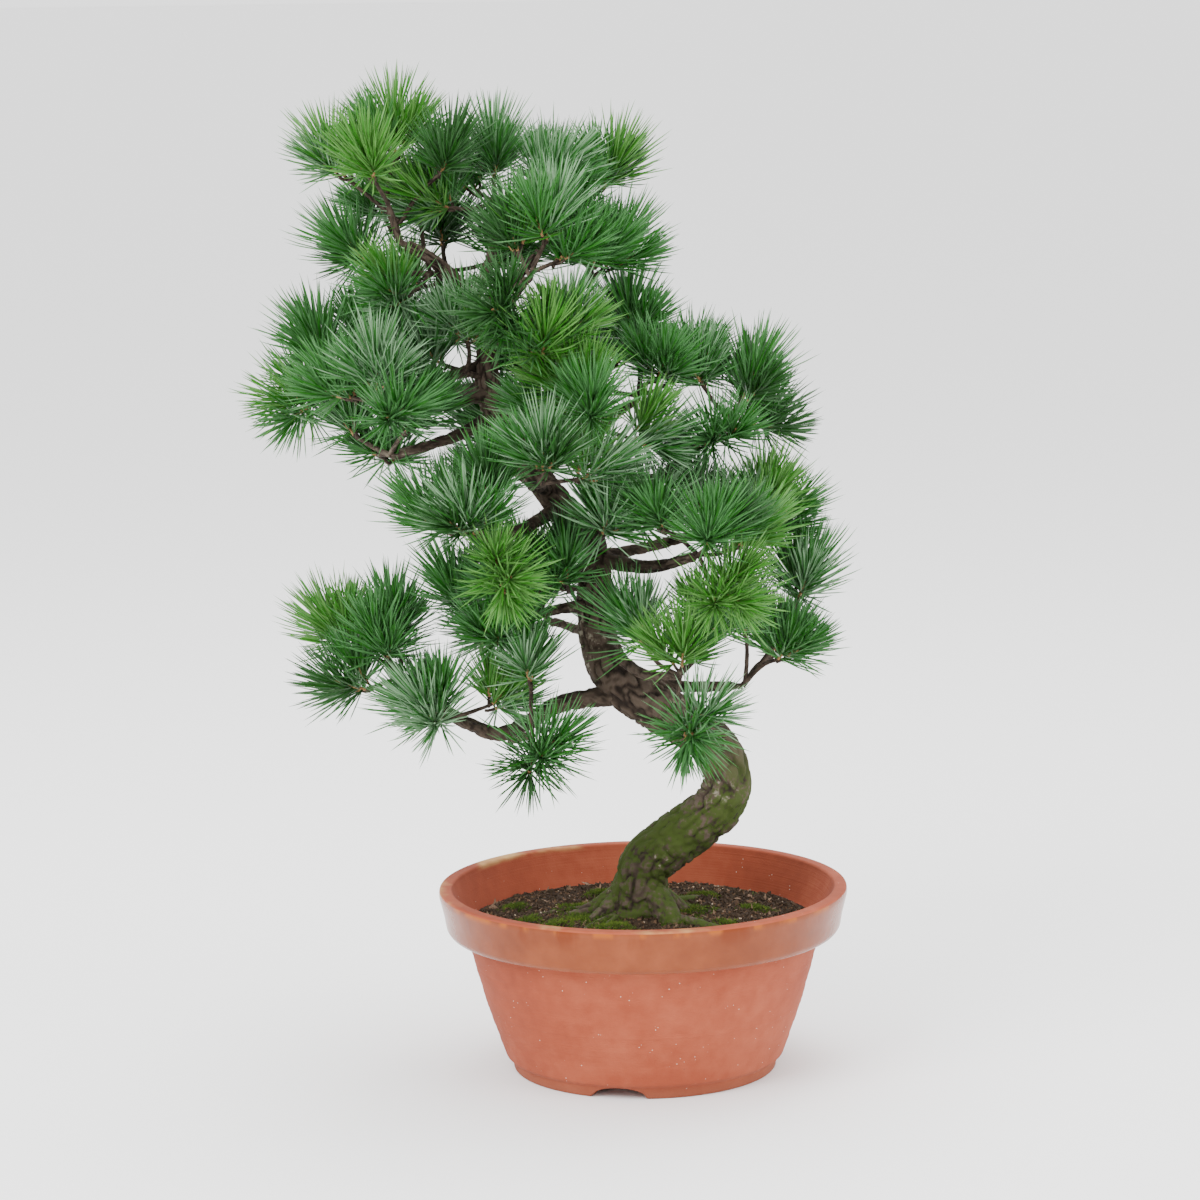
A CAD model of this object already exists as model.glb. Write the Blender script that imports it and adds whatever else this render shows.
"""A potted Japanese white pine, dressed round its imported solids.

Everything is in metres in the plant's frame: +Z up, +X to the right, -Y towards the viewer.  Rows that
repeat the plant's source are in millimetres from the pot's axis, and piece turns them into metres.
"""

import math
import random

import bpy
import numpy as np
from mathutils import Matrix, Vector


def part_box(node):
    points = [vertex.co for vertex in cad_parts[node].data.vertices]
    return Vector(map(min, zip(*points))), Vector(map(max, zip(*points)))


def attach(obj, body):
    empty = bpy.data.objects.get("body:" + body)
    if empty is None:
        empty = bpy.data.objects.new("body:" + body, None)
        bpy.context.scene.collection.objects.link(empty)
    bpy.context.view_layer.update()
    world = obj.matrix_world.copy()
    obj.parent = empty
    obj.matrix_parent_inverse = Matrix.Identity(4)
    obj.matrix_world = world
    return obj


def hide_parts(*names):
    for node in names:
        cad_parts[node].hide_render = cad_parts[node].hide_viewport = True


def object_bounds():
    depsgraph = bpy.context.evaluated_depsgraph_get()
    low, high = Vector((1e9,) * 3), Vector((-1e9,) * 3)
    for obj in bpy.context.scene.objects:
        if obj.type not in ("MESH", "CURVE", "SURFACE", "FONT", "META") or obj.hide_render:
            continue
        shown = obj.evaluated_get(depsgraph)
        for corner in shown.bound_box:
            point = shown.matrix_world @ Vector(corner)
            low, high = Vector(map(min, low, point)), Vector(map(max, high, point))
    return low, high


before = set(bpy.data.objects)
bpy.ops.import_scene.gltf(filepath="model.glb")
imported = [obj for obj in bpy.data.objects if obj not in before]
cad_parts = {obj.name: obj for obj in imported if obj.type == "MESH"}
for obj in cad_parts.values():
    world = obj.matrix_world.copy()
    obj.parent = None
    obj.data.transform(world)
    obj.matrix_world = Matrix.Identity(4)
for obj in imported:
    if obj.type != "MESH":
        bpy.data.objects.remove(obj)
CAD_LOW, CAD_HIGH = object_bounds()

# The camera stands three metres off and a little higher than the plant, and looks down by nine degrees at
# a long focal length.  It is turned about its own line of sight by less than a degree, as the photograph is.
POT_LOW, POT_HIGH = (np.array(corner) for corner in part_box("pot"))
POT_PLACE = np.array([(POT_LOW[0] + POT_HIGH[0]) / 2, (POT_LOW[1] + POT_HIGH[1]) / 2, 0])
FOCAL_PIXELS, FRAME_PIXELS = 4110, 1200
CAMERA_PLACE = (POT_PLACE[0] - 0.0292, POT_PLACE[1] - 3.0, 0.834)
LOOKING_DOWN, ROLL = 0.1588, -0.0136  # radians


def placed(name, data):
    """A new object that holds the data, put into the scene."""
    made = bpy.data.objects.new(name, data)
    bpy.context.scene.collection.objects.link(made)
    return made


camera = placed("camera", bpy.data.cameras.new("camera"))
camera.data.sensor_width = 36
camera.data.lens = FOCAL_PIXELS / FRAME_PIXELS * camera.data.sensor_width
camera.data.clip_start, camera.data.clip_end = 0.1, 60
camera.matrix_world = (Matrix.Translation(CAMERA_PLACE) @ Matrix.Rotation(math.pi / 2 - LOOKING_DOWN, 4, "X")
                       @ Matrix.Rotation(ROLL, 4, "Z"))
bpy.context.scene.camera = camera


# Room: a pale floor that reaches far back, a wide soft light from the upper left front, a weaker one from
# the right, one from above, and a white sky that fills the shadows, as on a studio table.
def soft_light(name, place, aim, size, power):
    """A square area light at a place, facing a point."""
    lamp = placed(name, bpy.data.lights.new(name, "AREA"))
    lamp.data.size, lamp.data.energy = size, power
    lamp.location = place
    lamp.rotation_mode = "QUATERNION"
    lamp.rotation_quaternion = (Vector(place) - Vector(aim)).to_track_quat("Z", "Y")


soft_light("key_light", (-1.5, -2.0, 2.3), (0, 0, 0.4), 1.6, 110)
soft_light("fill_light", (2.2, -1.4, 1.6), (0, 0, 0.35), 1.8, 40)
soft_light("top_light", (0.2, 0.6, 2.6), (0, 0, 0.4), 1.6, 60)

SKY_STRENGTH = 2.0
world = bpy.data.worlds.new("white_room")
bpy.context.scene.world = world
world.use_nodes = True
world.node_tree.nodes["Background"].inputs["Color"].default_value = (1.0, 1.0, 1.0, 1)
world.node_tree.nodes["Background"].inputs["Strength"].default_value = SKY_STRENGTH

FLOOR_SIDE, FLOOR_FRONT, FLOOR_BACK = 60, -6, 200
floor_mesh = bpy.data.meshes.new("floor")
floor_mesh.from_pydata([(-FLOOR_SIDE, FLOOR_FRONT, 0), (FLOOR_SIDE, FLOOR_FRONT, 0),
                        (FLOOR_SIDE, FLOOR_BACK, 0), (-FLOOR_SIDE, FLOOR_BACK, 0)], [], [(0, 1, 2, 3)])
floor = placed("floor", floor_mesh)
floor_finish = bpy.data.materials.new("pale_floor")
floor_finish.use_nodes = True
floor_finish.node_tree.nodes["Principled BSDF"].inputs["Base Color"].default_value = (0.92, 0.92, 0.92, 1)
floor_finish.node_tree.nodes["Principled BSDF"].inputs["Roughness"].default_value = 0.8
floor_mesh.materials.append(floor_finish)


# Pot: a shallow round training pot turned on a wheel from red clay, with a thick rim that is glazed
# brown outside, and a foot ring with three low arches.  Its profile is carried round the axis.
def unit(vectors):
    """Vectors made one long, along the last axis."""
    return vectors / np.linalg.norm(vectors, axis=-1, keepdims=True)


def rounded(profile, radius, steps=5):
    """Rows of a closed profile with each corner rounded: the two points one radius before and after the
    corner, joined by the curve (1-t)^2 start + 2t(1-t) corner + t^2 end."""
    rows = np.array(profile, float)
    back, on = np.roll(rows, 1, axis=0) - rows, np.roll(rows, -1, axis=0) - rows
    shorter = np.minimum(np.linalg.norm(back, axis=1), np.linalg.norm(on, axis=1))
    reach = np.minimum(radius, 0.45 * shorter)[:, None]
    start, end = rows + unit(back) * reach, rows + unit(on) * reach
    t = np.linspace(0, 1, steps)[None, :, None]
    curve = (1 - t) ** 2 * start[:, None] + 2 * t * (1 - t) * rows[:, None] + t ** 2 * end[:, None]
    return curve.reshape(-1, rows.shape[1])


def piece(name, corners, faces, finishes, finish_of_face=None, smooth=True):
    """An object that rides on the root, from whole arrays: corners in mm from the pot's axis, and faces as
    a list of (F, sides) index arrays."""
    places = np.asarray(corners, float).reshape(-1, 3) * 0.001 + POT_PLACE
    mesh = bpy.data.meshes.new(name)
    order = np.concatenate([block.ravel() for block in faces]).astype(np.int32)
    sides = np.concatenate([np.full(len(block), block.shape[1]) for block in faces])
    mesh.vertices.add(len(places))
    mesh.vertices.foreach_set("co", places.astype(np.float32).ravel())
    mesh.loops.add(len(order))
    mesh.loops.foreach_set("vertex_index", order)
    mesh.polygons.add(len(sides))
    mesh.polygons.foreach_set("loop_start", np.concatenate([[0], np.cumsum(sides)[:-1]]).astype(np.int32))
    if finish_of_face is not None:
        mesh.polygons.foreach_set("material_index", np.asarray(finish_of_face, np.int32))
    mesh.polygons.foreach_set("use_smooth", np.full(len(sides), smooth))
    for finish in finishes:
        mesh.materials.append(finish)
    mesh.update(calc_edges=True)
    made = placed(name, mesh)
    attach(made, "root")
    return made


def grid_faces(rows, columns, wrap_rows=False):
    """Index quads of a grid of points numbered row by row.  Each row is a closed ring of columns, and the
    last row is joined to the first one where the rows wrap."""
    row = np.arange(rows if wrap_rows else rows - 1)[:, None]
    column = np.arange(columns)[None, :]
    next_row, next_column = (row + 1) % rows, (column + 1) % columns
    quads = np.stack([row * columns + column, row * columns + next_column,
                      next_row * columns + next_column, next_row * columns + column], axis=-1)
    return quads.reshape(-1, 4)


def unevenness_group():
    """Shared effect: a factor from 0 to 1.  A broad noise and a fine one are mixed by the share of fine,
    and the factor is 0.5 + contrast (mixed - 0.5), clamped."""
    group = bpy.data.node_groups.new("unevenness", "ShaderNodeTree")
    for name in ("Broad scale", "Fine scale", "Share of fine", "Contrast"):
        group.interface.new_socket(name, in_out="INPUT", socket_type="NodeSocketFloat")
    group.interface.new_socket("Factor", in_out="OUTPUT", socket_type="NodeSocketFloat")
    nodes, links = group.nodes, group.links
    entry, leave = nodes.new("NodeGroupInput"), nodes.new("NodeGroupOutput")
    place = nodes.new("ShaderNodeTexCoord")
    mixed = nodes.new("ShaderNodeMix")
    for scale, slot in (("Broad scale", "A"), ("Fine scale", "B")):
        noise = nodes.new("ShaderNodeTexNoise")
        noise.inputs["Detail"].default_value = 4
        links.new(place.outputs["Object"], noise.inputs["Vector"])
        links.new(entry.outputs[scale], noise.inputs["Scale"])
        links.new(noise.outputs["Fac"], mixed.inputs[slot])
    links.new(entry.outputs["Share of fine"], mixed.inputs["Factor"])
    value = mixed.outputs["Result"]
    for operation, number in (("SUBTRACT", 0.5), ("MULTIPLY", None), ("ADD", 0.5)):
        step = nodes.new("ShaderNodeMath")
        step.operation = operation
        step.use_clamp = operation == "ADD"
        links.new(value, step.inputs[0])
        if number is None:
            links.new(entry.outputs["Contrast"], step.inputs[1])
        else:
            step.inputs[1].default_value = number
        value = step.outputs[0]
    links.new(value, leave.inputs["Factor"])
    return group


UNEVENNESS = unevenness_group()


class Finish:
    """A material under construction: its nodes, links and Principled shader, with helpers for them."""

    def __init__(self, name, colour, roughness, specular):
        self.material = bpy.data.materials.new(name)
        self.material.use_nodes = True
        self.nodes, self.links = self.material.node_tree.nodes, self.material.node_tree.links
        self.shader = self.nodes["Principled BSDF"]
        self.shader.inputs["Base Color"].default_value = (*colour, 1)
        self.shader.inputs["Roughness"].default_value = roughness
        self.shader.inputs["Specular IOR Level"].default_value = specular
        self.place = self.nodes.new("ShaderNodeTexCoord").outputs["Object"]

    def uneven(self, broad, fine, share=0.4, contrast=2.0):
        """The shared unevenness with its own scales."""
        node = self.nodes.new("ShaderNodeGroup")
        node.node_tree = UNEVENNESS
        for name, value in zip(("Broad scale", "Fine scale", "Share of fine", "Contrast"),
                               (broad, fine, share, contrast)):
            node.inputs[name].default_value = value
        return node.outputs["Factor"]

    def ramp(self, factor, *stops):
        """A colour for a factor, by stops of (position, red, green, blue)."""
        node = self.nodes.new("ShaderNodeValToRGB")
        while len(node.color_ramp.elements) < len(stops):
            node.color_ramp.elements.new(0.5)
        for element, (position, *colour) in zip(node.color_ramp.elements, stops):
            element.position, element.color = position, (*colour, 1)
        self.links.new(factor, node.inputs["Fac"])
        return node.outputs["Color"]

    def between(self, factor, low, high, to_low=0.0, to_high=1.0):
        """A factor that rises from to_low to to_high as the given one goes from low to high."""
        node = self.nodes.new("ShaderNodeMapRange")
        node.interpolation_type = "SMOOTHSTEP"
        for name, value in (("From Min", low), ("From Max", high), ("To Min", to_low), ("To Max", to_high)):
            node.inputs[name].default_value = value
        self.links.new(factor, node.inputs["Value"])
        return node.outputs["Result"]

    def times(self, first, second):
        """The product of two factors."""
        node = self.nodes.new("ShaderNodeMath")
        node.operation = "MULTIPLY"
        self.links.new(first, node.inputs[0])
        self.links.new(second, node.inputs[1])
        return node.outputs[0]

    def over(self, factor, under, colour):
        """A colour laid over another by a factor."""
        node = self.nodes.new("ShaderNodeMix")
        node.data_type = "RGBA"
        self.links.new(factor, node.inputs["Factor"])
        self.links.new(under, node.inputs["A"])
        if isinstance(colour, tuple):
            node.inputs["B"].default_value = (*colour, 1)
        else:
            self.links.new(colour, node.inputs["B"])
        return node.outputs["Result"]

    def specks(self, scale, size):
        """A factor that is 1 in small round spots, one in some of the cells of a grid."""
        node = self.nodes.new("ShaderNodeTexVoronoi")
        node.inputs["Scale"].default_value = scale
        self.links.new(self.place, node.inputs["Vector"])
        return self.between(node.outputs["Distance"], size, size * 0.6)

    def axis(self, letter):
        """One of the object's coordinates, in metres."""
        node = self.nodes.new("ShaderNodeSeparateXYZ")
        self.links.new(self.place, node.inputs["Vector"])
        return node.outputs[letter]

    def stretched(self, scale, detail=4):
        """Noise that is drawn out by a scale for each axis."""
        mapping = self.nodes.new("ShaderNodeMapping")
        mapping.inputs["Scale"].default_value = scale
        noise = self.nodes.new("ShaderNodeTexNoise")
        noise.inputs["Scale"].default_value = 1
        noise.inputs["Detail"].default_value = detail
        self.links.new(self.place, mapping.inputs["Vector"])
        self.links.new(mapping.outputs["Vector"], noise.inputs["Vector"])
        return noise.outputs["Fac"]

    def colour(self, output):
        """The shader's base colour taken from a node's output."""
        self.links.new(output, self.shader.inputs["Base Color"])

    def mottled(self, scales, *stops):
        """The shader's base colour by the unevenness of the given scales."""
        self.colour(self.ramp(self.uneven(*scales), *stops))

    def bump(self, height, distance, strength):
        """Relief of a given depth in metres, added to any relief that is already there."""
        node = self.nodes.new("ShaderNodeBump")
        node.inputs["Strength"].default_value = strength
        node.inputs["Distance"].default_value = distance
        self.links.new(height, node.inputs["Height"])
        if self.shader.inputs["Normal"].is_linked:
            self.links.new(self.shader.inputs["Normal"].links[0].from_socket, node.inputs["Normal"])
        self.links.new(node.outputs["Normal"], self.shader.inputs["Normal"])


POT_HEIGHT = 138
POT_PROFILE = (  # radius and height in mm, from the lip down the outside and up the inside
    (151.8, 138), (152.4, 133.5), (148.8, 119), (147, 108.5), (144.4, 105), (132.4, 104.2), (126.2, 81),
    (117.6, 50), (104, 11), (99.6, 8.2), (98.2, 0), (87, 0), (86, 6), (14, 6), (14, 14), (94, 14), (98, 18),
    (124, 99), (131.4, 109), (141.6, 134.5), (142.8, 138),
)
POT_STEPS, CORNER_RADIUS, LONGEST_STEP = 288, 1.6, 3.0
ARCH_TURNS = (-102, 18, 138)  # degrees
ARCH_HALF_WIDTH, ARCH_HEIGHT = 20, 8.5
FOOT_RADIUS, FOOT_INSIDE = 95, 80  # the middle of the foot ring and its inner side, in mm
BODY_INSIDE, BODY_BOTTOM, BODY_TOP = 60, 14, 102  # where the marks of the wheel lie, in mm
GLAZE_RADIUS, GLAZE_BOTTOM, GLAZE_TOP = 143.5, 105.2, 136.6
LIP = POT_HEIGHT * 0.001

clay = Finish("terracotta", (0.42, 0.13, 0.065), 0.82, 0.3)
clay_colour = clay.ramp(clay.uneven(9, 90, 0.3, 2.2), (0.0, 0.19, 0.034, 0.013), (0.5, 0.255, 0.050, 0.020),
                        (1.0, 0.34, 0.083, 0.038))
clay_stain = clay.times(clay.between(clay.stretched((14, 14, 30)), 0.56, 0.7),
                        clay.between(clay.axis("Z"), LIP - 0.0045, LIP - 0.0005))
clay_colour = clay.over(clay_stain, clay_colour, (0.46, 0.27, 0.10))
dark_foot = clay.between(clay.axis("Z"), 0.016, 0.0, 0.0, 0.45)
clay_colour = clay.over(dark_foot, clay_colour, (0.16, 0.065, 0.035))
pale_specks = clay.times(clay.specks(240, 0.10), clay.between(clay.uneven(40, 80), 0.55, 0.75))
clay_colour = clay.over(pale_specks, clay_colour, (0.75, 0.62, 0.5))
dark_specks = clay.times(clay.specks(130, 0.09), clay.between(clay.uneven(31, 70), 0.5, 0.8))
clay_colour = clay.over(dark_specks, clay_colour, (0.14, 0.05, 0.03))
clay.colour(clay_colour)
clay.bump(clay.stretched((9, 9, 900), 2), 0.0006, 0.35)
clay.bump(clay.uneven(160, 900, 0.5, 1.4), 0.0005, 0.4)

glaze = Finish("brown_glaze", (0.24, 0.062, 0.02), 0.24, 0.22)
glaze_colour = glaze.ramp(glaze.uneven(16, 70, 0.35, 2.0), (0.0, 0.125, 0.026, 0.007),
                          (0.5, 0.185, 0.042, 0.012), (1.0, 0.250, 0.064, 0.021))
amber_streaks = glaze.times(glaze.between(glaze.stretched((34, 34, 7)), 0.53, 0.64),
                            glaze.between(glaze.axis("Z"), LIP - 0.019, LIP - 0.004))
glaze_colour = glaze.over(amber_streaks, glaze_colour, (0.150, 0.026, 0.003))
amber_rim = glaze.times(glaze.between(glaze.stretched((60, 60, 16)), 0.50, 0.62),
                        glaze.between(glaze.axis("Z"), LIP - 0.007, LIP - 0.0015))
glaze_colour = glaze.over(amber_rim, glaze_colour, (0.30, 0.075, 0.008))
glaze.colour(glaze_colour)
glaze.bump(glaze.uneven(55, 300, 0.3, 1.2), 0.0012, 0.35)


def subdivided(rows, longest):
    """A closed profile with points added so that no step is longer than `longest`."""
    rows = np.vstack([rows, rows[:1]])
    step = np.linalg.norm(np.diff(rows, axis=0), axis=1)
    counts = np.maximum(1, np.ceil(step / longest)).astype(int)
    return np.vstack([rows[i] + (rows[i + 1] - rows[i]) * np.linspace(0, 1, n, endpoint=False)[:, None]
                      for i, n in enumerate(counts)])


def turned_pot():
    """The profile carried round the axis: x = r cos a, y = r sin a.  The body's radius has the marks of the
    wheel, 0.16 sin(1.9 z) + 0.12 sin(0.83 z + 1), and the pot is out of round by 0.25 sin(2a + 0.6) at its
    top.  Under each arch the height is at least ARCH_HEIGHT sqrt(1 - s^2), s being the way across it."""
    profile = subdivided(rounded(POT_PROFILE, CORNER_RADIUS), LONGEST_STEP)
    turn = np.linspace(0, math.tau, POT_STEPS, endpoint=False)[None, :]
    radius, height = profile[:, :1], profile[:, 1:]
    lift = np.zeros_like(turn)
    for middle in ARCH_TURNS:
        off = (turn - math.radians(middle) + math.pi) % math.tau - math.pi
        across = off * FOOT_RADIUS / ARCH_HALF_WIDTH
        lift = np.maximum(lift, ARCH_HEIGHT * np.sqrt(np.clip(1 - across ** 2, 0, 1)))
    height = np.where(radius > FOOT_INSIDE, np.maximum(height, lift), height)
    marks = 0.16 * np.sin(height * 1.9) + 0.12 * np.sin(height * 0.83 + 1)
    marks = marks * ((height > BODY_BOTTOM) & (height < BODY_TOP) & (radius > BODY_INSIDE))
    radius = radius + marks + 0.25 * np.sin(2 * turn + 0.6) * (height / POT_HEIGHT)
    return np.stack([radius * np.cos(turn), radius * np.sin(turn), height], axis=-1)


pot_places = turned_pot()
pot_faces = grid_faces(len(pot_places), POT_STEPS, wrap_rows=True)
pot_middle = pot_places.reshape(-1, 3)[pot_faces].mean(axis=1)
pot_glazed = ((np.hypot(pot_middle[:, 0], pot_middle[:, 1]) > GLAZE_RADIUS)
              & (pot_middle[:, 2] > GLAZE_BOTTOM) & (pot_middle[:, 2] < GLAZE_TOP))
pot = piece("turned_pot", pot_places, [pot_faces[:, ::-1]], [clay.material, glaze.material],
            pot_glazed)
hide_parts("pot")


# Soil: dark crumbly humus and fired clay grains that fill the pot, higher at the left and round the
# trunk, with moss, bits of bark and dry needles lying on it.
SOIL_RINGS, SOIL_STEPS = 150, 420
SOIL_RADIUS, SOIL_MIDDLE = 131.4 - 0.3, 0.4  # a hair inside the pot's wall, and the innermost ring
SOIL_BOTTOM, SOIL_CEILING = 98, 118.5
MOUND_RADII, MOUND_HEIGHTS = (62, 84, 122, 131), (115.6, 113.2, 109.8, 109.0)
WALL_RADIUS, CRUMB_FADE = 136, 12


def lattice_noise(places, cell, seed):
    """Smooth noise from -1 to 1: a random value at each corner of a grid of cubes of side `cell`, blended
    inside the cube by 3t^2 - 2t^3 along each axis."""
    scaled = places / cell
    low = np.floor(scaled).astype(np.int64)
    part = scaled - low
    part = part * part * (3 - 2 * part)
    total = np.zeros(places.shape[:-1])
    for corner in np.ndindex(2, 2, 2):
        number = ((low + corner) * np.array([73856093, 19349663, 83492791])).sum(axis=-1) + seed * 374761393
        number = (number ^ (number >> 13)) * 1274126177
        value = ((number ^ (number >> 16)) & 0xFFFF) / 32767.5 - 1
        total += value * np.where(np.array(corner, bool), part, 1 - part).prod(axis=-1)
    return total


def soil_height(x, y):
    """The soil's height in mm: a low mound round the trunk, a slope up to the left, and crumbs of four
    sizes, which fade to a quarter towards the pot's wall."""
    radius = np.hypot(x, y)
    base = np.interp(radius, MOUND_RADII, MOUND_HEIGHTS) - 0.7 * np.clip(x / 130, -1, 1)
    places = np.stack([x, y, 0 * x], axis=-1)
    crumbs = (1.5 * lattice_noise(places, 17, 3) + 1.0 * lattice_noise(places, 6.5, 4)
              + 0.75 * np.abs(lattice_noise(places, 3.1, 5)) + 0.45 * lattice_noise(places, 1.6, 6))
    fade = np.clip((WALL_RADIUS - radius) / CRUMB_FADE, 0.25, 1)
    return np.minimum(base + crumbs * fade, SOIL_CEILING)


soil_share = np.linspace(0, 1, SOIL_RINGS)[:, None] ** 0.8
soil_turn = np.linspace(0, math.tau, SOIL_STEPS, endpoint=False)[None, :]
soil_radius = SOIL_MIDDLE + soil_share * (SOIL_RADIUS - SOIL_MIDDLE)
soil_x, soil_y = soil_radius * np.cos(soil_turn), soil_radius * np.sin(soil_turn)
soil_top = np.stack([soil_x, soil_y, soil_height(soil_x, soil_y)], axis=-1)
soil_skirt = soil_top[-1:] * (0.97, 0.97, 0) + (0, 0, SOIL_BOTTOM)
soil_bottom = np.stack([soil_x[:1] * 0.5, soil_y[:1] * 0.5, 0 * soil_x[:1] + SOIL_BOTTOM], axis=-1)
soil_grid = np.concatenate([soil_top, soil_skirt, soil_bottom])
soil_top_cap = np.arange(SOIL_STEPS)[None, :]
soil_bottom_cap = (len(soil_grid) - 1) * SOIL_STEPS + np.arange(SOIL_STEPS)[None, ::-1]

humus = Finish("potting_soil", (0.035, 0.02, 0.011), 0.96, 0.25)
humus_colour = humus.ramp(humus.uneven(120, 520, 0.55, 2.6), (0.0, 0.007, 0.004, 0.002),
                          (0.45, 0.022, 0.013, 0.007), (0.8, 0.048, 0.028, 0.016), (1.0, 0.09, 0.055, 0.032))
green_film = humus.between(humus.uneven(22, 160, 0.35, 2.6), 0.62, 0.85, 0, 0.75)
humus.colour(humus.over(green_film, humus_colour, (0.05, 0.075, 0.015)))
humus.bump(humus.uneven(420, 1600, 0.5, 1.6), 0.0012, 0.8)
soil_faces = [grid_faces(len(soil_grid), SOIL_STEPS)[:, ::-1], soil_top_cap, soil_bottom_cap]
soil = piece("soil_surface", soil_grid, soil_faces, [humus.material])
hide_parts("soil")


def turn_matrices(rule, count):
    """Random rotations: three random directions made square to each other, one matrix a row."""
    first = unit(rule.normal(size=(count, 3)))
    second = unit(np.cross(first, rule.normal(size=(count, 3))))
    return np.stack([first, second, np.cross(first, second)], axis=1)


def chips(name, places_mm, sizes_mm, seed, finish):
    """Crumbs: each an octahedron with its corners moved at random, squeezed by its three sizes and
    turned at random."""
    rule = np.random.default_rng(seed)
    corners = np.array([(1, 0, 0), (-1, 0, 0), (0, 1, 0), (0, -1, 0), (0, 0, 1), (0, 0, -1)], float)
    faces = np.array([(0, 2, 4), (2, 1, 4), (1, 3, 4), (3, 0, 4), (2, 0, 5), (1, 2, 5), (3, 1, 5), (0, 3, 5)])
    count = len(places_mm)
    shape = corners[None] * rule.uniform(0.7, 1.25, (count, 6, 1)) + rule.uniform(-0.22, 0.22, (count, 6, 3))
    shape = np.einsum("nij,njk->nik", shape * sizes_mm[:, None, :], turn_matrices(rule, count))
    corners = shape + places_mm[:, None, :]
    index = faces[None] + 6 * np.arange(count)[:, None, None]
    piece(name, corners, [index.reshape(-1, 3)], [finish], smooth=False)


def scattered(rule, count, reach, lift):
    """Random places on the soil, as (x, y, z) in mm, even over its area and lifted a little."""
    radius, turn = reach * np.sqrt(rule.uniform(0.0, 1, count)), rule.uniform(0, math.tau, count)
    x, y = radius * np.cos(turn), radius * np.sin(turn)
    return np.stack([x, y, soil_height(x, y) + lift], axis=-1)


CRUMBS = (  # name, count, least and greatest size in mm, colour
    ("dark_crumbs", 5200, 0.8, 2.6, (0.030, 0.018, 0.010)),
    ("brown_crumbs", 1900, 0.7, 2.0, (0.085, 0.048, 0.026)),
    ("pale_grit", 240, 0.5, 1.3, (0.38, 0.30, 0.22)),
)
litter_rule = np.random.default_rng(21)
for name, count, low, high, colour in CRUMBS:
    finish = Finish(name, colour, 0.95, 0.25)
    finish.mottled((300, 900, 0.5, 2.0), (0.0, *(c * 0.6 for c in colour)), (1.0, *(c * 1.5 for c in colour)))
    places = scattered(litter_rule, count, 127, 0.3)
    sizes = litter_rule.uniform(low, high, (count, 1)) * litter_rule.uniform(0.6, 1.2, (count, 3))
    chips(name, places, sizes, 40 + count, finish.material)

BARK_BITS = 420
bark_bits = Finish("bark_bits", (0.13, 0.075, 0.045), 0.9, 0.3)
bark_bits.mottled((160, 700, 0.5, 2.4), (0.0, 0.05, 0.028, 0.017), (1.0, 0.24, 0.15, 0.095))
bit_places = scattered(litter_rule, BARK_BITS, 126, 0.5)
bit_sizes = np.stack([litter_rule.uniform(low, high, BARK_BITS)
                      for low, high in ((1.6, 5.2), (0.9, 2.4), (0.4, 0.8))], axis=-1)
chips("bark_litter", bit_places, bit_sizes, 7, bark_bits.material)


# Moss: soft green cushions round the trunk's foot and in a few patches on the soil, made of short
# pointed leaves that stand out of low domes.
MOSS_PATCHES = (  # x, y, radius in mm: round the foot, the front left patch and smaller ones
    (-38, -22, 24), (-22, -46, 17), (-46, 14, 20), (26, -30, 16), (34, 8, 18), (6, 36, 22), (-66, -38, 16),
    (-84, -12, 12), (62, -34, 10), (-12, -78, 12), (84, 20, 14), (-30, 66, 18), (48, 58, 14), (-96, 34, 12),
    (10, -100, 8), (96, -44, 8), (-58, -88, 9),
)
MOSS_DENSITY, MOSS_DOME, MOSS_REACH = 2.6, 2.6, 128
MOSS_LEAF_RADIUS, MOSS_LEAF_DEPTH = 0.42, 0.8


def moss_feet_and_leans(rule):
    """Where the moss leaves stand and how they lean: MOSS_DENSITY r^2 of them on a patch of radius r,
    leaning outwards, with their feet on the soil raised by a dome MOSS_DOME (1 - d^2), d being the share
    of the way out of the patch."""
    feet, leans = [], []
    for x, y, radius in MOSS_PATCHES:
        count = int(MOSS_DENSITY * radius ** 2)
        away, turn = np.sqrt(rule.uniform(0, 1, count)), rule.uniform(0, math.tau, count)
        edge = 1 + 0.28 * np.sin(3 * turn + x) + 0.16 * np.sin(5 * turn + y)
        px, py = x + radius * away * edge * np.cos(turn), y + radius * away * edge * np.sin(turn)
        feet.append(np.stack([px, py, soil_height(px, py) + MOSS_DOME * (1 - away ** 2)], axis=-1))
        leans.append(np.stack([away * np.cos(turn), away * np.sin(turn), 0 * turn + 0.9], axis=-1))
    feet, leans = np.concatenate(feet), np.concatenate(leans)
    leans = leans + rule.normal(scale=0.45, size=leans.shape)
    leans[:, 2] = np.abs(leans[:, 2])
    inside = np.hypot(feet[:, 0], feet[:, 1]) < MOSS_REACH
    return feet[inside], unit(leans[inside])


# Each leaf is a pointed cone of three sides, 1.8 to 3.6 mm long.
moss_rule = np.random.default_rng(9)
moss_feet, moss_leans = moss_feet_and_leans(moss_rule)
moss_side = unit(np.cross(moss_leans, (0.3, 0.2, 1.0)))
moss_across = np.cross(moss_leans, moss_side)
moss_turn = np.arange(3)[None, :, None] * math.tau / 3
moss_base = (moss_feet[:, None] - MOSS_LEAF_DEPTH * moss_leans[:, None] + MOSS_LEAF_RADIUS
             * (np.cos(moss_turn) * moss_side[:, None] + np.sin(moss_turn) * moss_across[:, None]))
moss_tip = moss_feet + moss_leans * moss_rule.uniform(1.0, 2.8, (len(moss_feet), 1))
moss_corners = np.concatenate([moss_base, moss_tip[:, None]], axis=1)
moss_index = (np.array([(0, 1, 3), (1, 2, 3), (2, 0, 3), (2, 1, 0)])[None]
              + 4 * np.arange(len(moss_feet))[:, None, None])
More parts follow.
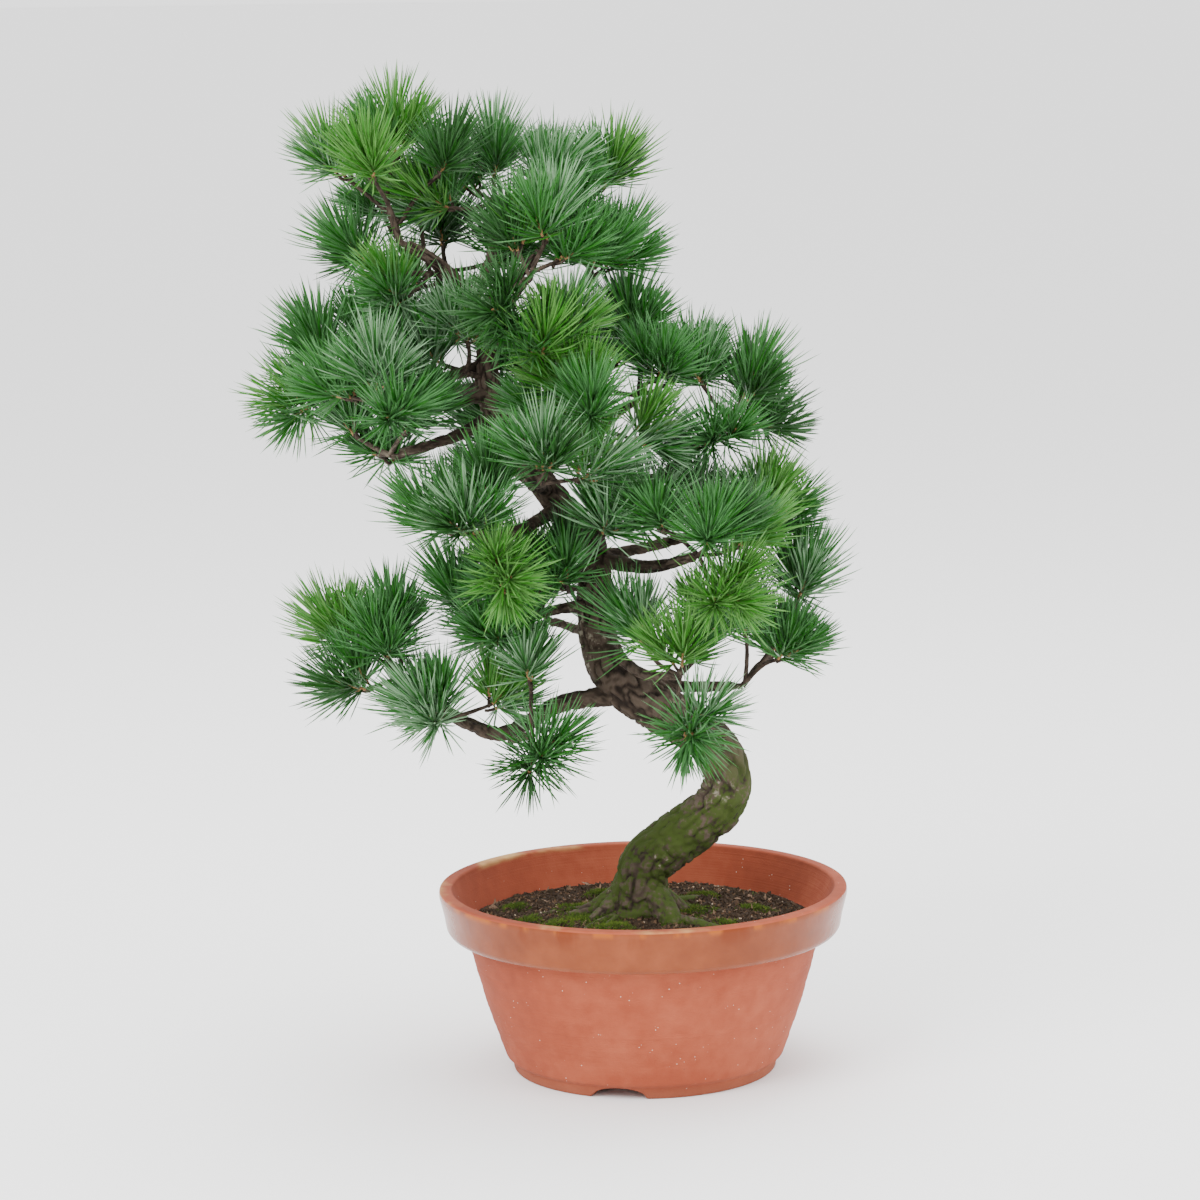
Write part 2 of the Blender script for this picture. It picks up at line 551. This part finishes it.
moss_finish = Finish("moss", (0.10, 0.16, 0.02), 0.9, 0.2)
moss_finish.mottled((60, 400, 0.5, 2.4), (0.0, 0.018, 0.034, 0.004), (0.5, 0.050, 0.085, 0.009),
                    (1.0, 0.12, 0.16, 0.018))
piece("moss_cushions", moss_corners, [moss_index.reshape(-1, 3)], [moss_finish.material],
      smooth=False)


# Trunk: old dark pine bark in raised plates with fissures between them, mossy near the ground and
# pale with lichen in places, swelling into surface roots at its foot.
TRUNK = (  # x, y, z and radius in mm along the centre line
    (-5, 2, 104, 25), (-4, 1, 119, 23), (-2, -1, 138, 19.5), (3, -3, 155, 18.6), (18, -6, 169, 18.4),
    (39, -10, 185, 18.4), (57, -13, 201, 18.4), (63, -15, 221, 17.2), (56, -12, 242, 16.6),
    (36, -7, 259, 17), (9, -1, 274, 17), (-15, 4, 291, 15.6), (-29, 7, 316, 13.4), (-34, 6, 351, 11.4),
    (-32, 4, 376, 11), (-37, 2, 398, 10.6), (-52, 0, 417, 10.2), (-69, 0, 440, 9.6),
    (-90, 0, 473, 8.8), (-106, 0, 499, 8.2), (-110, 1, 525, 7.4), (-109, 2, 550, 6.8),
    (-114, 3, 571, 6), (-128, 0, 587, 5), (-142, -5, 602, 4), (-155, -8, 612, 3.2), (-166, -10, 618, 2.7),
)
TRUNK_CUT = 108
ROOTS = (  # turn in degrees, reach and radius in mm
    (-48, 42, 10), (-150, 38, 5), (-172, 42, 5.5), (152, 34, 6.5), (75, 34, 8), (12, 33, 8),
)
ROOT_FOOT, ROOT_TOP = np.array(TRUNK[1][:3], float), 22
SURFACE_ROOTS = (  # thin bare roots that run over the soil: rows of x, y, z above the soil and radius
    ((22, -28, 3, 4.2), (44, -44, 1.2, 3.2), (66, -58, 0.4, 2.4), (90, -66, -1.2, 1.6)),
    ((-22, -18, 2, 2.2), (-36, -34, 1, 1.6), (-44, -56, 0.6, 1.2), (-40, -74, -0.8, 0.8)),
    ((-20, -24, 2, 1.8), (-28, -42, 0.8, 1.3), (-26, -62, 0.2, 1.0), (-34, -82, -0.8, 0.7)),
    ((-26, 6, 2, 3.0), (-52, 12, 0.8, 2.2), (-80, 8, -1.2, 1.2)),
    ((16, 26, 2, 3.4), (38, 44, 0.8, 2.4), (58, 70, -1.2, 1.4)),
)


def smooth_path(points, spacing, fineness=24):
    """Rows every `spacing` along a Catmull-Rom curve through the given rows, each column alike."""
    rows = np.array(points, float)
    rows = np.vstack([2 * rows[0] - rows[1], rows, 2 * rows[-1] - rows[-2]])
    share = np.linspace(0, 1, fineness, endpoint=False)[:, None]
    runs = []
    for before, start, end, after in zip(rows, rows[1:], rows[2:], rows[3:]):
        runs.append(0.5 * (2 * start + (end - before) * share
                           + (2 * before - 5 * start + 4 * end - after) * share ** 2
                           + (3 * start - before - 3 * end + after) * share ** 3))
    fine = np.vstack(runs + [rows[-2][None]])
    length = lengths_along(fine)
    at = np.linspace(0, length[-1], max(2, round(length[-1] / spacing) + 1))
    return np.stack([np.interp(at, length, column) for column in fine.T], axis=1)


def lengths_along(path):
    """The length of the path up to each of its rows."""
    return np.concatenate([[0], np.cumsum(np.linalg.norm(np.diff(path[:, :3], axis=0), axis=1))])


def frames_along(path):
    """Unit vectors along a path and two across it, by cross products with the axis that the path keeps
    furthest from."""
    along = unit(np.gradient(path[:, :3], axis=0))
    side = unit(np.cross(along, np.eye(3)[np.argmin(np.abs(along).max(axis=0))]))
    return along, side, np.cross(along, side)


def layered_noise(places, cell, seed, layers):
    """Noise with finer noise on it, each layer half as large and half as strong as the one before."""
    return sum(lattice_noise(places, cell / 2 ** i, seed + i) / 2 ** i for i in range(layers))


def barked_tube(path, sides, plate, depth, seed, swell=None):
    """A circle carried along a path of (x, y, z, radius).  Its radius is raised by plates: the absolute
    value of noise drawn out along the limb, cut off at a third, so that flat plates stand between narrow
    grooves.  Returns the points as (rows, sides, 3) and the height of the bark from 0 to 1."""
    side, up = frames_along(path)[1:]
    turn = np.linspace(0, math.tau, sides, endpoint=False)[None, :]
    length = lengths_along(path)[:, None]
    radius = path[:, 3:4]
    typical = radius.mean()
    places = np.stack([typical * np.cos(turn) + 0 * length, typical * np.sin(turn) + 0 * length,
                       0.5 * length + 0 * turn], axis=-1)
    places = places + 0.35 * plate * np.stack([lattice_noise(places, 2.2 * plate, seed + 7 + i)
                                              for i in range(3)], axis=-1)
    ridge = np.minimum(np.abs(layered_noise(places, plate, seed, 2)), 0.34) / 0.34
    cross = np.minimum(np.abs(lattice_noise(places * (1, 1, 1.6), plate * 0.8, seed + 3)), 0.16) / 0.16
    fine = lattice_noise(places * 2, plate * 0.3, seed + 5)
    height = np.clip(0.62 * ridge + 0.25 * cross + 0.13 * (fine + 1) / 2, 0, 1)
    broad = lattice_noise(places, plate * 3.4, seed + 11)
    raised = radius + depth * (height - 0.55) + 0.07 * radius * broad
    out = np.cos(turn)[..., None] * side[:, None] + np.sin(turn)[..., None] * up[:, None]
    if swell is not None:
        raised = raised + swell(path[:, None, :3] + out * radius[..., None])
    return path[:, None, :3] + out * raised[..., None], height


def join_tubes(tubes):
    """Several tubes as one set of corners, quads, end triangles and heights.  Each end is closed by
    triangles that meet at its middle, and all the faces point outwards."""
    corners, quads, caps, heights, first = [], [], [], [], 0
    for places, height in tubes:
        rows, sides = places.shape[:2]
        corners += [places.reshape(-1, 3), places[0].mean(axis=0)[None], places[-1].mean(axis=0)[None]]
        heights += [height.ravel(), height[:1].mean(axis=1), height[-1:].mean(axis=1)]
        quads.append(grid_faces(rows, sides) + first)
        middle, last = first + rows * sides, first + (rows - 1) * sides
        ring = np.arange(sides)
        following = (ring + 1) % sides
        caps.append(np.stack([0 * ring + middle, first + following, first + ring], axis=-1))
        caps.append(np.stack([0 * ring + middle + 1, last + ring, last + following], axis=-1))
        first = middle + 2
    return np.concatenate(corners), np.concatenate(quads), np.concatenate(caps), np.concatenate(heights)


def bark_piece(name, tubes, finish, slot, *nodes):
    """Tubes joined as one piece, with the height of the bark as an attribute for its colour."""
    corners, quads, caps, heights = join_tubes(tubes)
    made = piece(name, corners, [quads, caps], [finish])
    bark_height = made.data.attributes.new("bark_height", "FLOAT", "POINT")
    bark_height.data.foreach_set("value", heights.astype(np.float32))
    if nodes:
        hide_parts(*nodes)


def bark_finish(name, moss_top, lichen_share):
    """Dark fissures and grey-brown plates by the height of the bark, pale lichen in patches, and moss
    that thins out upwards to a height in metres."""
    finish = Finish(name, (0.085, 0.06, 0.04), 0.92, 0.25)
    height = finish.nodes.new("ShaderNodeAttribute")
    height.attribute_name = "bark_height"
    plates = finish.ramp(height.outputs["Fac"], (0.0, 0.005, 0.0035, 0.0025), (0.45, 0.020, 0.013, 0.009),
                         (0.8, 0.055, 0.039, 0.028), (1.0, 0.090, 0.066, 0.049))
    tint = finish.ramp(finish.uneven(30, 220, 0.5, 2.4), (0.0, 0.022, 0.015, 0.011),
                       (0.5, 0.058, 0.041, 0.029), (1.0, 0.115, 0.088, 0.067))
    colour = finish.over(finish.between(finish.uneven(45, 180, 0.4, 2.0), 0.3, 0.8, 0.0, 0.5), plates, tint)
    lichen = finish.times(finish.between(finish.uneven(26, 260, 0.4, 2.6), 0.70, 0.86, 0.0, lichen_share),
                          finish.between(height.outputs["Fac"], 0.35, 0.8))
    colour = finish.over(lichen, colour, (0.26, 0.235, 0.175))
    green = finish.times(finish.between(finish.uneven(38, 300, 0.45, 2.6), 0.30, 0.56, 0.0, 0.9),
                         finish.between(finish.axis("Z"), moss_top, moss_top - 0.07))
    finish.colour(finish.over(green, colour, (0.036, 0.058, 0.007)))
    finish.bump(finish.uneven(350, 1400, 0.5, 1.6), 0.0009, 0.7)
    return finish.material


def root_swell(places):
    """How far the foot of the trunk swells towards its roots, in mm: for each root a bump 0.62 times its
    radius, exp(-(a / 0.34)^2) exp(-z / 13), a being the turn away from it and z the height."""
    off = places - ROOT_FOOT
    turn = np.arctan2(off[..., 1], off[..., 0])
    fade = np.exp(-np.clip(off[..., 2], 0, None) / 13)
    swell = 0
    for root_turn, _, radius in ROOTS:
        away = (turn - math.radians(root_turn) + math.pi) % math.tau - math.pi
        swell = swell + 0.62 * radius * np.exp(-(away / 0.34) ** 2) * fade
    return swell


trunk_path = smooth_path(TRUNK, 1.5)
trunk_path = trunk_path[trunk_path[:, 2] > TRUNK_CUT]
trunk_tubes = [barked_tube(trunk_path, sides=112, plate=5.6, depth=3.4, seed=31, swell=root_swell)]
for i, (turn, reach, radius) in enumerate(ROOTS):
    out = np.array((math.cos(math.radians(turn)), math.sin(math.radians(turn)), 0))
    wander = np.array((-out[1], out[0], 0)) * (3 if i % 2 else -3)
    rows = [(*(ROOT_FOOT + out * 0.1 * reach + (0, 0, ROOT_TOP)), radius * 1.1),
            (*(ROOT_FOOT + out * 0.62 * reach + (0, 0, 0.3 * ROOT_TOP)), radius),
            (*(ROOT_FOOT + out * reach + wander + (0, 0, -0.3 * radius)), radius * 0.75),
            (*(ROOT_FOOT + out * (reach + 14) + 2 * wander + (0, 0, -1.1 * radius)), radius * 0.5)]
    trunk_tubes.append(barked_tube(smooth_path(rows, 1.5), sides=36, plate=5.0, depth=1.8, seed=60 + i))
for i, rows in enumerate(SURFACE_ROOTS):
    rows = np.array(rows, float)
    rows[:, 2] += soil_height(rows[:, 0], rows[:, 1])
    trunk_tubes.append(barked_tube(smooth_path(rows, 1.2), sides=16, plate=3.0, depth=0.7, seed=80 + i))
old_bark = bark_finish("old_bark", moss_top=0.27, lichen_share=0.75)
bark_piece("trunk_bark", trunk_tubes, old_bark, "bark", "trunk")


# Boughs: thinner and smoother than the trunk, each a tapering limb that grows out of the trunk or of
# another bough with a short collar, and ends where its foliage starts.
BOUGHS = (  # name, start, foot and tip radius, then the places it passes, in mm.  The start is a height on
    # the trunk, or another bough and a share of its length.
    ("low_left", 284, 7.2, 3.4,
     (-58, -4, 277), (-84, -10, 264), (-108, -15, 257), (-142, -20, 274), (-170, -14, 296)),
    ("low_left_fork", ("low_left", 0.48), 3.6, 2.4, (-96, -36, 256), (-84, -52, 262)),
    ("low_left_spur", ("low_left", 0.66), 3.4, 2.4, (-128, -36, 268), (-134, -46, 274)),
    ("mid_right", 384, 6.0, 3.2, (6, -34, 383), (38, -74, 396)),
    ("mid_right_back", 384, 5.0, 2.8, (16, 32, 390), (62, 36, 402)),
    ("upper_right", 392, 5.6, 2.8,
     (-27, 6, 425), (-16, 3, 441), (12, 0, 443), (34, 2, 458), (62, 10, 482)),
    ("low_right", 300, 5.6, 3.0, (24, 20, 285), (70, 8, 286)),
    ("low_right_front", 322, 4.6, 2.6, (0, -42, 306), (24, -74, 309)),
    ("upper_fork", 484, 4.4, 2.6, (-86, -30, 513), (-73, -58, 530)),
    ("left", 492, 5.2, 3.0, (-138, -16, 477), (-174, -20, 467)),
    ("left_front", 508, 4.6, 2.8, (-146, -32, 502), (-182, -50, 505)),
    ("left_back", 528, 4.4, 2.6, (-162, 14, 516), (-206, 20, 522)),
    ("mid_left", 424, 5.0, 2.8, (-84, -44, 414), (-108, -84, 412)),
    ("low_mid_left", 350, 4.4, 2.6, (-74, -12, 346), (-101, -18, 336)),
    ("leader", 578, 4.4, 2.6, (-106, 10, 606), (-103, 14, 640)),
    ("top_right", 562, 4.4, 2.6, (-82, 24, 597), (-52, 46, 626)),
    ("top_front", 570, 4.0, 2.4, (-98, -36, 583), (-80, -60, 594)),
    ("right_top", 545, 4.2, 2.4, (-72, -4, 566), (-42, -4, 583)),
    ("right_upper", 446, 5.0, 2.8, (-40, 8, 474), (-4, 14, 498)),
    ("right_front", 468, 4.4, 2.6, (-58, -42, 478), (-38, -62, 488)),
    ("front_mid", 436, 4.2, 2.4, (-78, -50, 446), (-70, -88, 452)),
    ("back_low", 328, 4.8, 2.6, (-44, 52, 322), (-64, 84, 324)),
    ("back_mid", 412, 4.8, 2.6, (-72, 48, 428), (-92, 90, 438)),
    ("back_upper", 486, 4.4, 2.4, (-72, 44, 488), (-46, 84, 502)),
    ("back_left", 512, 4.4, 2.4, (-138, 44, 508), (-164, 80, 518)),
    ("back_top", 556, 4.2, 2.4, (-122, 40, 568), (-136, 72, 588)),
)


def place_on_trunk(height):
    """The place on the trunk's centre line at a height."""
    return np.array([np.interp(height, trunk_path[:, 2], column) for column in trunk_path[:, :3].T])


limbs, bough_tubes = {}, []
for i, (name, start, foot_radius, tip_radius, *waypoints) in enumerate(BOUGHS):
    if isinstance(start, tuple):
        carrier = limbs[start[0]]
        inside = carrier[int(start[1] * (len(carrier) - 1)), :3]
    else:
        inside = place_on_trunk(start)
    path = smooth_path([tuple(inside), *waypoints], 2.2)
    share = np.linspace(0, 1, len(path))[:, None]
    radii = foot_radius + (tip_radius - foot_radius) * share ** 0.8 + foot_radius * 0.35 * np.exp(-share * 9)
    limbs[name] = np.hstack([path, radii])
    bough_tubes.append(barked_tube(limbs[name], sides=26, plate=4.2, depth=0.30 * foot_radius,
                                   seed=100 + 9 * i))
bough_bark = bark_finish("bough_bark", moss_top=0.20, lichen_share=0.45)
bark_piece("boughs_bark", bough_tubes, bough_bark, "bark", *("bough_" + row[0] for row in BOUGHS))


# Twigs: each mass of foliage grows from the tip of a bough, or straight from the trunk.  A stem leads to
# the first shoot, the others stand round it by the golden angle, and each ends in a cluster of shoots.
MASSES = (  # name, offsets in mm to the first two shoots, count of shoots, and the height on the trunk of
    # a mass that grows straight from it.  Others grow from the bough of their name or the trunk's tip.
    ("low_left", (-44, 14, 24), (-18, -14, 22), 5),
    ("low_left_fork", (7, -20, -8), (4, -8, 41), 2),
    ("low_left_spur", (-12, -14, 4), (24, 12, 8), 3),
    ("mid_right", (10, -26, 12), (34, 4, 8), 4),
    ("mid_right_back", (26, -32, 14), (-12, 42, 4), 4),
    ("upper_right", (16, 4, 18), (-4, -30, -8), 4),
    ("low_right", (47, -8, 66), (32, -28, 24), 4),
    ("low_right_front", (5, -18, 10), (-24, 6, 24), 4),
    ("upper_fork", (5, -22, 12), (16, -8, 24), 2),
    ("left", (-34, 18, 12), (8, -20, 20), 3),
    ("left_front", (-5, -12, 14), (-26, 4, 6), 3),
    ("left_back", (-18, -2, 10), (4, 22, 18), 3),
    ("mid_left", (-10, -26, 8), (-30, 0, 8), 4),
    ("low_mid_left", (-24, -4, 14), (-4, -24, -6), 3),
    ("leader", (0, 1, 25), (-34, -10, 4), 4),
    ("top_right", (29, -16, 29), (-7, 34, 25), 3),
    ("top_front", (16, 2, 30), (-10, -24, -16), 4),
    ("right_top", (20, 2, 16), (8, 24, 18), 3),
    ("right_upper", (0, -12, 48), (34, 10, 18), 4),
    ("right_front", (-5, -8, 24), (34, 2, -8), 4),
    ("front_mid", (2, -22, 13), (28, -6, 4), 2),
    ("back_low", (-10, 24, 10), (26, 10, -8), 3),
    ("back_mid", (-10, 24, 12), (28, 8, 12), 4),
    ("back_upper", (8, 22, 16), (-28, 6, 8), 3),
    ("back_left", (-12, 20, 14), (24, 12, 18), 3),
    ("back_top", (-8, 20, 22), (28, 14, 10), 3),
    ("trunk_left", (-48, -46, 4), (-20, -52, 14), 3, 362),
    ("upper_left", (-34, -14, 14), (-14, -22, 30), 2, 518),
    ("top_left", (-8, 20, 66), (-44, 6, 50), 5),
    ("top_left_low", (-62, 22, 10), (-34, -22, -12), 3, 594),
    ("trunk_front", (14, -64, 8), (36, -44, 12), 2, 404),
)
GOLDEN_ANGLE = math.radians(137.5)
UPWARD_PULL = 0.55
STEM_RADIUS, TWIG_RADIUS, TWIG_TIP = 2.3, 1.7, 1.3
SIDE_SHOOTS = 2
SHOOT_LENGTH = 26


def mass_plan(name, to_lead, to_second, count, height_on_trunk=None):
    """Twigs as (start, end, radius, radius) and shoots as (foot, direction, size), by the source's rule:
    the second shoot's offset is split into a height along the stem and a part across it, and each further
    shoot turns that part on by the golden angle at a height of its own."""
    rule = random.Random(f"11 {name}")
    to_lead, to_second = np.array(to_lead, float), np.array(to_second, float)
    if height_on_trunk is None:
        line = limbs.get(name, trunk_path)
        base, heading, radius = line[-1, :3], unit(line[-1, :3] - line[-8, :3]), min(STEM_RADIUS, line[-1, 3])
        foot = base
    else:
        base, heading, radius = place_on_trunk(height_on_trunk), unit(to_lead), STEM_RADIUS
        foot = base + heading * 8
    lead = base + to_lead
    elbow = foot + heading * min(6, 0.3 * np.linalg.norm(lead - foot))
    twigs = [(foot - 3 * heading, elbow, radius, radius * 0.95), (elbow, lead, radius * 0.95, TWIG_TIP)]
    length, stem = np.linalg.norm(lead - elbow), unit(lead - elbow)
    shoots = [(lead, unit(stem + (0, 0, UPWARD_PULL)), 1.0)]
    second = base + to_second - elbow
    height = float(second @ stem)
    across = second - stem * height
    for i in range(count - 1):
        if i:
            height = length * rule.uniform(0.25, 0.75)
        angle = i * GOLDEN_ANGLE
        turned_on = (across * math.cos(angle) + np.cross(stem, across) * math.sin(angle)
                     + stem * float(stem @ across) * (1 - math.cos(angle)))
        end = elbow + stem * height + turned_on * rule.uniform(0.92, 1.08)
        start = elbow + stem * length * min(0.7, max(0.05, height / length - 0.5))
        twigs.append((start, end, TWIG_RADIUS, TWIG_TIP))
        shoots.append((end, unit(unit(end - start) + (0, 0, UPWARD_PULL)), rule.uniform(0.86, 0.98)))
    return twigs, shoots


def side_shoots(foot, heading, size, rule):
    """Finer twigs and shoots that leave the twig just under a leading shoot, a golden angle apart."""
    side = unit(np.cross(heading, rule.normal(size=3)))
    twigs, shoots = [], []
    for k in range(SIDE_SHOOTS):
        angle = k * GOLDEN_ANGLE + 0.4
        out = side * math.cos(angle) + np.cross(heading, side) * math.sin(angle)
        origin = foot - heading * rule.uniform(2, 7)
        direction = unit(heading * 0.85 + out * rule.uniform(0.55, 0.85) + (0, 0, 0.22))
        start = origin + direction * rule.uniform(7, 11)
        twigs.append((origin, start, 1.15, 1.0))
        shoots.append((start, direction, size * rule.uniform(0.70, 0.86)))
    return twigs, shoots


twigs, shoots = [], []
side_rule = np.random.default_rng(5)
for row in MASSES:
    mass_twigs, mass_shoots = mass_plan(*row)
    twigs += mass_twigs
    for shoot in mass_shoots:
        finer_twigs, finer_shoots = side_shoots(*shoot, side_rule)
        twigs += finer_twigs
        shoots += [shoot, *finer_shoots]


def bent_twig(start, end, first, last, seed):
    """A tube along a curve from start to end whose middle bows sideways by 0.08 of its length and hangs
    by 0.03 of it."""
    length = np.linalg.norm(end - start)
    rule = np.random.default_rng(seed)
    bow = np.cross(unit(end - start), rule.normal(size=3)) * length * 0.08
    middle = start + (end - start) * 0.5 + bow - (0, 0, 0.03 * length)
    rows = np.array([(*start, first), (*middle, (first + last) / 2), (*end, last)])
    return barked_tube(smooth_path(rows, 2.6), sides=9, plate=2.2, depth=0.35, seed=seed)


def budded_shoot(foot, heading, size, seed):
    """A shoot that curves up by 1.5 t^2 and thickens into the scaly bud at its end."""
    share = np.linspace(0, 1, 15)[:, None]
    line = foot + heading * SHOOT_LENGTH * size * share + np.array((0, 0, 1.5)) * share ** 2
    girth = np.interp(share, (0, 0.72, 0.80, 0.90, 0.97, 1.0), (1.25, 1.0, 1.35, 1.3, 0.7, 0.15))
    girth = girth * (1 + 0.12 * np.sin(share * 60))
    return barked_tube(np.hstack([line, girth]), sides=7, plate=1.6, depth=0.2, seed=seed)


twig_bark = bark_finish("twig_bark", moss_top=0.1, lichen_share=0.25)
bark_piece("twigs_bark", [bent_twig(*twig, 300 + i) for i, twig in enumerate(twigs)], twig_bark, "needles")

shoot_bark = Finish("shoot_bark", (0.30, 0.15, 0.06), 0.7, 0.4)
shoot_bark.mottled((180, 700, 0.5, 2.0), (0.0, 0.15, 0.075, 0.03), (1.0, 0.42, 0.24, 0.10))
shoot_bark.bump(shoot_bark.uneven(500, 1500, 0.5, 1.5), 0.0004, 0.6)
bark_piece("shoots_and_buds", [budded_shoot(*shoot, 900 + i) for i, shoot in enumerate(shoots)],
           shoot_bark.material, "needles")


# Needles: bundles of five in a spiral round each shoot, green outside and waxy blue-white on the two
# inner faces, straight when young and curving up towards the light.
NEEDLE_LENGTH, NEEDLE_HALF_WIDTH, SHORTEST_NEEDLE = 53, 0.70, 6
BUNDLES, NEEDLES_IN_BUNDLE = 22, 5
MOST_NEEDLES = 12000  # in one piece
NEEDLE_COLOURS = {  # outer face, inner faces
    "young": ((0.028, 0.164, 0.009), (0.081, 0.218, 0.041)),
    "green": ((0.015, 0.116, 0.007), (0.052, 0.167, 0.046)),
    "silvery": ((0.019, 0.116, 0.014), (0.149, 0.270, 0.143)),
    "dark": ((0.008, 0.063, 0.004), (0.028, 0.090, 0.023)),
}


def needle_arrays(feet, headings, sizes, seed):
    """Needles of many shoots as (needles, 10, 3): three rings of three corners and a tip.

    Bundle j of a shoot sits at a share s of its length, at angle 137.5 degrees times j.  It leans off the
    shoot by 88 - 78 s^0.8 degrees, and upwards.  Needle k of its five leans off the bundle's axis by 5 to
    19 degrees at angle 72 k.  A point at share t of a needle of length L, whose bend is b and whose sway
    is w, lies at root + L t direction + L b t^2 up + L w t^2 across.  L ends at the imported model's box.
    """
    rule = np.random.default_rng(seed)
    count = len(feet)
    j = np.arange(BUNDLES)[None, :]
    share = (j + rule.uniform(0, 1, (count, BUNDLES))) / BUNDLES
    turn = j * GOLDEN_ANGLE + rule.uniform(0, math.tau, (count, 1))
    turn = turn + rule.normal(scale=0.12, size=share.shape)
    side = unit(np.cross(headings, (0.31, 0.47, 0.83)))
    up = np.cross(headings, side)
    out = np.cos(turn)[..., None] * side[:, None] + np.sin(turn)[..., None] * up[:, None]
    lean = np.radians(88 - 78 * share ** 0.8) + rule.normal(scale=0.10, size=share.shape)
    axis = np.cos(lean)[..., None] * headings[:, None] + np.sin(lean)[..., None] * out
    axis[..., 2] += 0.42 * np.sin(lean)
    axis = unit(axis)
    root = feet[:, None] + headings[:, None] * (SHOOT_LENGTH * sizes[:, None] * share)[..., None] + out * 0.9
    root = root[:, :, None]

    across = unit(np.cross(axis, headings[:, None] + (0.01, 0.02, 0.03)))
    over = np.cross(axis, across)
    around = (np.arange(NEEDLES_IN_BUNDLE) * math.tau / NEEDLES_IN_BUNDLE)[None, None, :] \
        + rule.uniform(0, math.tau, share.shape)[..., None]
    away = np.cos(around)[..., None] * across[:, :, None] + np.sin(around)[..., None] * over[:, :, None]
    tilt = np.radians(rule.uniform(5, 19, around.shape))[..., None]
    direction = axis[:, :, None] * np.cos(tilt) + away * np.sin(tilt)
    outer = unit(away - direction * (away * direction).sum(axis=-1)[..., None])
    width = np.cross(direction, outer)

    young = 0.80 + 0.22 * np.sin(np.pi * np.clip(share * 0.9 + 0.1, 0, 1))
    length = NEEDLE_LENGTH * (sizes[:, None] * young)[..., None] * rule.uniform(0.74, 1.06, around.shape)
    low, high = (np.array(corner) * 1000 - POT_PLACE * 1000 for corner in (CAD_LOW, CAD_HIGH))
    with np.errstate(divide="ignore", invalid="ignore"):
        room = np.where(direction > 0, (high - root) / direction, (low - root) / direction)
    length = np.clip(np.minimum(length, np.nanmin(room, axis=-1)), SHORTEST_NEEDLE, None)[..., None]
    bend = rule.uniform(0.04, 0.17, around.shape)[..., None] * (1 - np.abs(direction[..., 2:3]))
    sway = rule.normal(scale=0.035, size=around.shape)[..., None]
    curve = np.array((0, 0, 1)) * bend * length + width * sway * length

    corner = np.radians((62, -62, 180))
    rings = []
    for t, girth in ((0.0, 0.85), (0.42, 1.0), (0.78, 0.8)):
        middle = (root + direction * length * t + curve * t ** 2)[..., None, :]
        reach = NEEDLE_HALF_WIDTH * girth * np.array((1.0, 1.0, 0.75))
        rings.append(middle + (np.cos(corner) * reach)[:, None] * outer[..., None, :]
                     + (np.sin(corner) * reach)[:, None] * width[..., None, :])
    rings.append((root + direction * length + curve)[..., None, :])
    return np.concatenate(rings, axis=-2).reshape(-1, 10, 3)


NEEDLE_QUADS = np.array([(0, 1, 4, 3), (1, 2, 5, 4), (2, 0, 3, 5), (3, 4, 7, 6), (4, 5, 8, 7), (5, 3, 6, 8)])
NEEDLE_ENDS = np.array([(6, 7, 9), (7, 8, 9), (8, 6, 9), (2, 1, 0)])
INNER_QUADS, INNER_ENDS = (0, 1, 1, 0, 1, 1), (0, 1, 1, 1)


def needle_piece(name, corners, finishes):
    """One joined piece of needles, its outer and inner faces with a finish each."""
    start = 10 * np.arange(len(corners))[:, None, None]
    quads = (NEEDLE_QUADS[None] + start).reshape(-1, 4)[:, ::-1]
    ends = (NEEDLE_ENDS[None] + start).reshape(-1, 3)[:, ::-1]
    kinds = np.concatenate([np.tile(INNER_QUADS, len(corners)), np.tile(INNER_ENDS, len(corners))])
    return piece(name, corners, [quads, ends], finishes, kinds, smooth=False)


# The clusters of shoots are dealt to the four colours, with some exceptions, and the darker ones more often
# at the back.
feet, headings, sizes = (np.array(column) for column in zip(*shoots))
deal = np.random.default_rng(17)
chance = deal.uniform(0, 1, len(shoots) // (1 + SIDE_SHOOTS)).repeat(1 + SIDE_SHOOTS)
chance += 0.26 * deal.normal(size=len(shoots))
chance -= 0.0032 * np.clip(feet[:, 1], -40, 90)
kind = np.select([chance > 0.84, chance > 0.62, chance > 0.14], [0, 2, 1], 3)
needle_pieces = []
for number, (name, (outer_colour, inner_colour)) in enumerate(NEEDLE_COLOURS.items()):
    finishes = [Finish(f"{name}_{face}", colour, roughness, 0.35).material
                for face, colour, roughness in (("outer", outer_colour, 0.42), ("inner", inner_colour, 0.55))]
    chosen = kind == number
    corners = needle_arrays(feet[chosen], headings[chosen], sizes[chosen], 400 + number)
    blocks = np.array_split(corners, math.ceil(len(corners) / MOST_NEEDLES))
    needle_pieces += [needle_piece(f"needles_{name}_{part + 1}", block, finishes)
                      for part, block in enumerate(blocks)]
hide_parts(*("needles_" + row[0] for row in MASSES))
